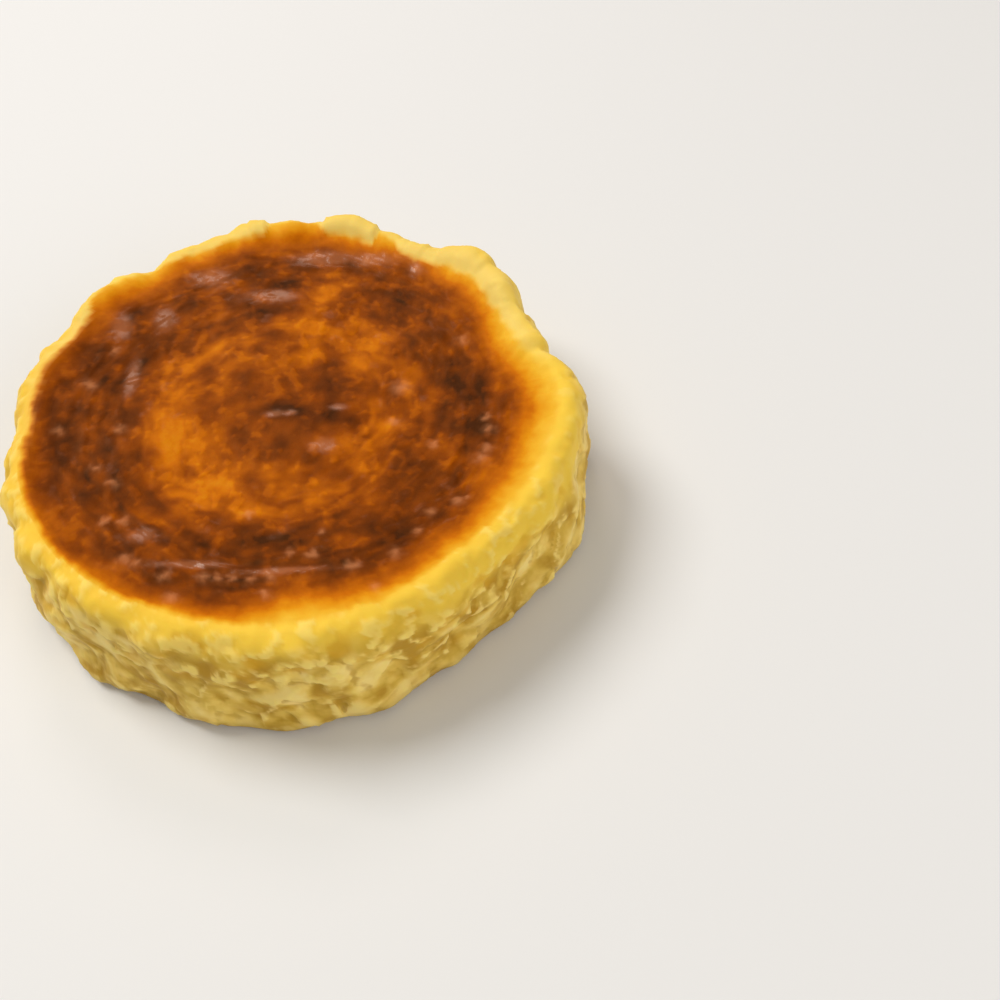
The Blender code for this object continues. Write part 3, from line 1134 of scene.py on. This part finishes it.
# %% Baked custard
GRAIN_SIZE = 2.0 * MM
MOTTLE_SIZE = 7 * MM
CURD_SIZE = 0.9 * MM
CURD_HEIGHT = 0.2 * MM
CURD_STRENGTH = 0.2
CUSTARD_ROUGHNESS = 0.5
GRAIN_IN_ROUGHNESS = 0.2
COAT_SHARE = 0.42
LEAST_SHINE = 0.04
WARM_SHINE = (1.0, 0.52, 0.14, 1.0)
SHADER_VALUES = {
    "Coat Roughness": 0.17,
    "Specular IOR Level": 0.11,
    "Specular Tint": WARM_SHINE,
    "Subsurface Weight": 0.15,
    "Subsurface Radius": (1.0, 0.55, 0.2),
    "Subsurface Scale": 2.0 * MM,
}


def custard_finish():
    """Baked custard with its browned skin."""
    finish = Finish("baked_custard")
    shader = finish.shader
    brown = finish.attribute("browning")
    grain = finish.speckle(GRAIN_SIZE) - 0.5
    mottle = finish.speckle(MOTTLE_SIZE) - 0.5
    # The cut shine sets the coat weight and the painted sheen in the colour
    sheen = (finish.attribute("shine") * brown.between(0.25, 0.5)).between(LEAST_SHINE, 1.0)
    finish.feed(shader.inputs["Base Color"], cake_colour(finish, brown, sheen, grain, mottle))
    finish.feed(shader.inputs["Roughness"], CUSTARD_ROUGHNESS + grain * GRAIN_IN_ROUGHNESS)
    finish.feed(shader.inputs["Coat Weight"], sheen * COAT_SHARE)
    for name, value in SHADER_VALUES.items():
        shader.inputs[name].default_value = value
    curd = finish.speckle(CURD_SIZE, detail=4.0, roughness=0.65)
    bump_values = {"Height": curd, "Strength": CURD_STRENGTH, "Distance": CURD_HEIGHT}
    finish.feed(shader.inputs["Normal"], finish.add("ShaderNodeBump", None, bump_values))
    print("nodes in the finish:", len(finish.tree.nodes))
    return finish.material


cake_mesh.materials.append(custard_finish())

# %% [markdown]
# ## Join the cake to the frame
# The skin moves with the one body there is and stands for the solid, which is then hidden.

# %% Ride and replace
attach(cake, "root")
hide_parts("cheesecake")
print(cake.name, "stands for", solid.name)

# %% [markdown]
# ## Floor
# The floor is pale and plain, so that the cake's own yellows show. It is a single large square, much
# wider than the view, with a hint of blue that evens out the warm lamps.

# %% Pale floor
FLOOR_HALF = 4.0        # metres
FLOOR_WHITE = seen(232, 235, 241)
FLOOR_ROUGHNESS = 0.6


def pale_floor():
    """A square of floor under the cake."""
    mesh = bpy.data.meshes.new("floor")
    corners = [(-1, -1), (1, -1), (1, 1), (-1, 1)]
    mesh.from_pydata([(a * FLOOR_HALF, b * FLOOR_HALF, 0.0) for a, b in corners], [], [(0, 1, 2, 3)])
    floor = bpy.data.objects.new("floor", mesh)
    bpy.context.scene.collection.objects.link(floor)
    finish = Finish("pale_floor")
    finish.shader.inputs["Base Color"].default_value = FLOOR_WHITE
    finish.shader.inputs["Roughness"].default_value = FLOOR_ROUGHNESS
    mesh.materials.append(finish.material)


pale_floor()
print("floor: %.0f m each way" % (2 * FLOOR_HALF))

# %% [markdown]
# ## Light
# In the photograph soft light comes from the upper left, behind the cake, and leaves a soft shadow
# at its lower right. One large lamp does that. A weak one straight behind gives the skin its sheen,
# and another in front and the pale surroundings keep the wall from going dark.

# %% Lights
# Name, place in metres, width in metres, power in watts, and colour
LAMPS = (
    ("window", (-1.16, 0.72, 1.76), 1.10, 33.4, seen(255, 250, 240)),
    ("fill", (0.80, -0.56, 0.60), 0.90, 3.7, seen(255, 248, 238)),
    ("behind", (-0.16, 0.80, 0.82), 0.34, 1.5, seen(255, 236, 222)),
)


def add_lamp(name, place, size, power, colour):
    """A round soft lamp that points at the cake."""
    lamp = bpy.data.lights.new(name, "AREA")
    lamp.shape = "DISK"
    lamp.size = size
    lamp.energy = power
    lamp.color = colour[:3]
    holder = bpy.data.objects.new(name, lamp)
    holder.location = place
    holder.rotation_euler = (-Vector(place)).to_track_quat("-Z", "Y").to_euler()
    bpy.context.scene.collection.objects.link(holder)


for lamp_values in LAMPS:
    add_lamp(*lamp_values)
print("lamps:", ", ".join(values[0] for values in LAMPS))

# %% [markdown]
# ## Surroundings
# The world is one even warm white, weak enough that the lamps still shape the cake. The Standard view
# shows colours as they are, where a filmic one would dull the yellows.

# %% Surroundings
SURROUND = seen(250, 243, 230)
SURROUND_STRENGTH = 0.36

world = bpy.data.worlds.new("surround")
world.use_nodes = True
background = world.node_tree.nodes["Background"]
background.inputs["Color"].default_value = SURROUND
background.inputs["Strength"].default_value = SURROUND_STRENGTH
bpy.context.scene.world = world
bpy.context.scene.view_settings.view_transform = "Standard"
bpy.context.scene.view_settings.look = "None"
print("surroundings at strength", SURROUND_STRENGTH)
